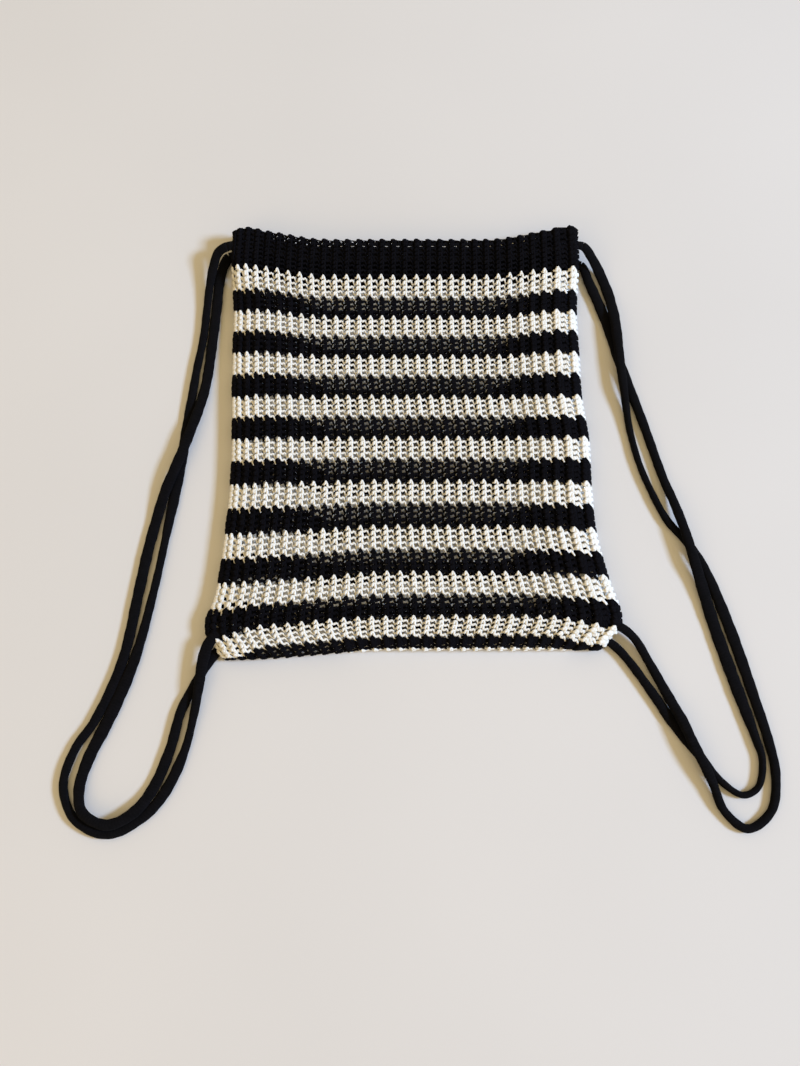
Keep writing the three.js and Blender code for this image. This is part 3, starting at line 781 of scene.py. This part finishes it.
def knit_piece(name, first, last, samples, sides, pressed, settings):
    """Knits the rows first to last as one piece: black rows and ivory rows take turns between the hems. The
    yarn is wider by the share that it is full and pressed, and as much thinner, so its section stays."""
    centres, normals, wide, thick = yarn_rows(first, last, samples, settings.stripe_rows)
    rows = np.arange(first, last + 1)
    ivory = (rows // settings.stripe_rows % 2 == 0) & (rows >= FIRST_BODY_ROW) & (rows < BACK_HEM_ROW)
    full = pressed * np.where(ivory, settings.ivory_fullness, settings.black_fullness)[:, None]
    points = tubes(centres, normals, wide * full / 2, thick / full / 2, sides)
    piece = put_tubes(name, points, way_along(centres), yarns(settings), np.where(ivory, 0, 1))
    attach(piece, "root")
    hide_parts("bag")
    return piece


def knit_pieces(pieces, settings):
    """Knits each of the pieces."""
    for name, first, last, samples, sides, pressed, under in pieces:
        piece = knit_piece(name, first, last, samples, sides, pressed, settings)


class BACKPACK_OT_knit_front(bpy.types.Operator):
    """Knits the front of the bag down to the bottom fold"""

    bl_idname = "backpack.knit_front"
    bl_label = "Knit the front"

    def execute(self, context):
        knit_pieces(FRONT_PIECES, context.scene.backpack_knit)
        return {"FINISHED"}


class BACKPACK_OT_knit_hem(bpy.types.Operator):
    """Knits the hem round the mouth, its outer and inner layers, front and back"""

    bl_idname = "backpack.knit_hem"
    bl_label = "Knit the hem"

    def execute(self, context):
        knit_pieces(HEM_PIECES, context.scene.backpack_knit)
        return {"FINISHED"}


class BACKPACK_OT_knit_back(bpy.types.Operator):
    """Knits the back of the bag up to its hem"""

    bl_idname = "backpack.knit_back"
    bl_label = "Knit the back"

    def execute(self, context):
        knit_pieces(BACK_PIECES, context.scene.backpack_knit)
        return {"FINISHED"}


def smooth_route(points, steps):
    """A centripetal Catmull-Rom curve through points, with steps stations a span: between two points it is
    the cubic whose end slopes come from their neighbours, each span timed by the root of its length."""
    points = np.vstack([2 * points[0] - points[1], points, 2 * points[-1] - points[-2]])
    p0, p1, p2, p3 = (points[i:len(points) - 3 + i, None] for i in range(4))
    spans = ((p0, p1), (p1, p2), (p2, p3))
    t0, t1, t2 = (np.sqrt(np.linalg.norm(b - a, axis=-1, keepdims=True)) for a, b in spans)
    leave = ((p1 - p0) / t0 - (p2 - p0) / (t0 + t1) + (p2 - p1) / t1) * t1
    reach = ((p2 - p1) / t1 - (p3 - p1) / (t1 + t2) + (p3 - p2) / t2) * t1
    t = (np.arange(steps) / steps)[None, :, None]
    return np.vstack([cubic(t, p1, leave, p2, reach).reshape(-1, 3), points[-2]])


def even_route(route, count):
    """The same route with count stations at even distances along it."""
    way = way_along(route[None])[0]
    at = np.linspace(0, way[-1], count)
    return np.stack([np.interp(at, way, route[:, k]) for k in range(3)], axis=-1)


def strand_routes(strand):
    """A strand's stretch in the hem's tunnel and its free stretch, in millimetres. In the tunnel it keeps to
    its lane and moves over to its exit lane by a smooth step near the open end."""
    middle, height = TUNNELS[strand["tunnel"]]
    x, y, _ = on_course(np.full(len(HEM_STOPS), middle), strand["side"] * HEM_STOPS)
    lane = strand["lane"] + (strand["exit_lane"] - strand["lane"]) * smoothstep(EXIT_START, 1, HEM_STOPS)
    hem = np.stack([x, y + lane, np.full(len(HEM_STOPS), height)], axis=-1)
    whole = smooth_route(np.vstack([hem, np.array(strand["route"]) / MM]), ROUTE_STEPS)
    leaves = (len(HEM_STOPS) - 1) * ROUTE_STEPS
    return whole[:leaves + 1], whole[leaves:]


def cord_piece(name, route, widths, count, sides, settings):
    """One strand along its route: an oval whose width follows the table along the way, with slight waves,
    and whose thickness is what its section leaves, within the thinnest and the thickest."""
    centres = even_route(route, count)[None]
    way = way_along(centres)
    share = way[0] / way[0, -1]
    wave = sum(size * np.sin(way[0] * 2 * math.pi / length + phase) for size, length, phase in CORD_WAVES)
    width = through(np.array(widths), share)[:, 0] * (1 + wave)
    thick = np.clip(settings.section / MM / MM / width, settings.thinnest / MM, settings.thickest / MM)
    up = np.broadcast_to(np.array([0.0, 0.0, 1.0]), centres.shape)
    points = tubes(centres, up, width[None] / 2, thick[None] / 2, sides)
    finish = bpy.data.materials.get("black cotton cord")
    if finish is None:
        finish = cotton_cord("black cotton cord", settings.black, settings.black_groove_shade_and_mottle)
    piece = put_tubes(name, points, way, [finish], np.zeros(1, dtype=int))
    return piece, centres[0], float(way[0, -1])


class BACKPACK_OT_lay_cords(bpy.types.Operator):
    """Lays the drawcords' strands from the hem to the bottom corners"""

    bl_idname = "backpack.lay_cords"
    bl_label = "Lay the drawcords"

    def execute(self, context):
        settings = context.scene.backpack_cords
        for name, strand in STRANDS.items():
            in_hem, free = strand_routes(strand)
            width = strand["widths"][0][1]
            even = [(0, width), (1, width)]
            drawn, _, _ = cord_piece(f"{name}_in_hem", in_hem, even, *IN_HEM_DETAIL, settings)
            strap, path, length = cord_piece(f"{name}_strap", free, strand["widths"], *STRAP_DETAIL, settings)
            for piece in (drawn, strap):
                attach(piece, "root")
                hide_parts(name)
        return {"FINISHED"}


def area_light(name, place, aim, size, colour, power):
    """An area light at a place, turned so that it shines at the aim: its -Z axis runs from one to the
    other."""
    lamp = bpy.data.lights.new(name, "AREA")
    lamp.shape = "RECTANGLE"
    lamp.size, lamp.size_y = size
    lamp.color = colour
    lamp.energy = power
    light = bpy.data.objects.new(name, lamp)
    ray = np.array(aim) - np.array(place)
    light.location = place
    light.rotation_euler = (
        math.atan2(math.hypot(ray[0], ray[1]), -ray[2]),
        0,
        math.atan2(-ray[0], ray[1]),
    )
    bpy.context.scene.collection.objects.link(light)
    return light


def studio_world(name, strength):
    """Light from all round: warm from above, which makes the shadows tan, and pale near the horizon."""
    world = bpy.data.worlds.new(name)
    world.use_nodes = True
    tree = world.node_tree
    tree.nodes.clear()
    way = node(tree, "ShaderNodeTexCoord")
    split = node(tree, "ShaderNodeSeparateXYZ", {"Vector": way.outputs["Generated"]})
    sky = two_tone(tree, split.outputs["Z"], 0.2, HORIZON_COLOUR, 0.45, SKY_COLOUR)
    light = node(tree, "ShaderNodeBackground", {"Color": sky}, inputs={"Strength": strength})
    node(tree, "ShaderNodeOutputWorld", {"Surface": light.outputs[0]})
    return world


class BACKPACK_OT_set_stage(bpy.types.Operator):
    """Sets up the floor, the lights and the camera"""

    bl_idname = "backpack.set_stage"
    bl_label = "Set the stage"

    def execute(self, context):
        settings = context.scene.backpack_stage
        scene = context.scene
        mesh = bpy.data.meshes.new("floor")
        corners = [(x * FLOOR_HALF, y * FLOOR_HALF, 0) for x, y in ((-1, -1), (1, -1), (1, 1), (-1, 1))]
        mesh.from_pydata(corners, [], [(0, 1, 2, 3)])
        shade = tuple(FLOOR_SHADE * channel for channel in settings.floor)
        mesh.materials.append(painted_board("matt painted board", settings.floor, shade))
        floor = bpy.data.objects.new("floor", mesh)
        scene.collection.objects.link(floor)

        warm = linear(FILL_COLOUR)
        area_light("key light", KEY_PLACE, LIGHT_AIM, KEY_SIZE, KEY_COLOUR, settings.key_power)
        area_light("fill light", FILL_PLACE, LIGHT_AIM, FILL_SIZE, warm, settings.fill_power)
        scene.world = studio_world("studio", settings.ambient)
        scene.view_settings.view_transform = "Standard"

        lens = bpy.data.cameras.new("camera")
        lens.lens = CAMERA_LENS
        lens.sensor_width = CAMERA_SENSOR
        camera = bpy.data.objects.new("camera", lens)
        camera.location = CAMERA_PLACE
        camera.rotation_euler = (math.radians(CAMERA_TILT), 0, 0)
        scene.collection.objects.link(camera)
        scene.camera = camera
        return {"FINISHED"}


class BACKPACK_PT_panel(bpy.types.Panel):
    """Lists the backpack's settings and the steps that make it"""

    bl_idname = "BACKPACK_PT_panel"
    bl_label = "Knit string backpack"
    bl_space_type = "VIEW_3D"
    bl_region_type = "UI"
    bl_category = "Backpack"

    def draw(self, context):
        scene = context.scene
        for group in (scene.backpack_knit, scene.backpack_cords, scene.backpack_stage):
            box = self.layout.box()
            for key in group.__annotations__:
                box.prop(group, key)
        for operator in OPERATORS:
            self.layout.operator(operator.bl_idname)


OPERATORS = (
    BACKPACK_OT_lay_cords,
    BACKPACK_OT_knit_front,
    BACKPACK_OT_knit_hem,
    BACKPACK_OT_knit_back,
    BACKPACK_OT_set_stage,
)
SETTINGS = {
    "backpack_knit": KnitSettings,
    "backpack_cords": CordSettings,
    "backpack_stage": StageSettings,
}
CLASSES = (*SETTINGS.values(), *OPERATORS, BACKPACK_PT_panel)


def register():
    for cls in CLASSES:
        bpy.utils.register_class(cls)
    for name, group in SETTINGS.items():
        setattr(bpy.types.Scene, name, bpy.props.PointerProperty(type=group))


def unregister():
    for name in SETTINGS:
        delattr(bpy.types.Scene, name)
    for cls in reversed(CLASSES):
        bpy.utils.unregister_class(cls)


def main():
    register()
    bpy.ops.backpack.lay_cords()
    bpy.ops.backpack.knit_front()
    bpy.ops.backpack.knit_hem()
    bpy.ops.backpack.knit_back()
    bpy.ops.backpack.set_stage()


if __name__ == "__main__":
    main()
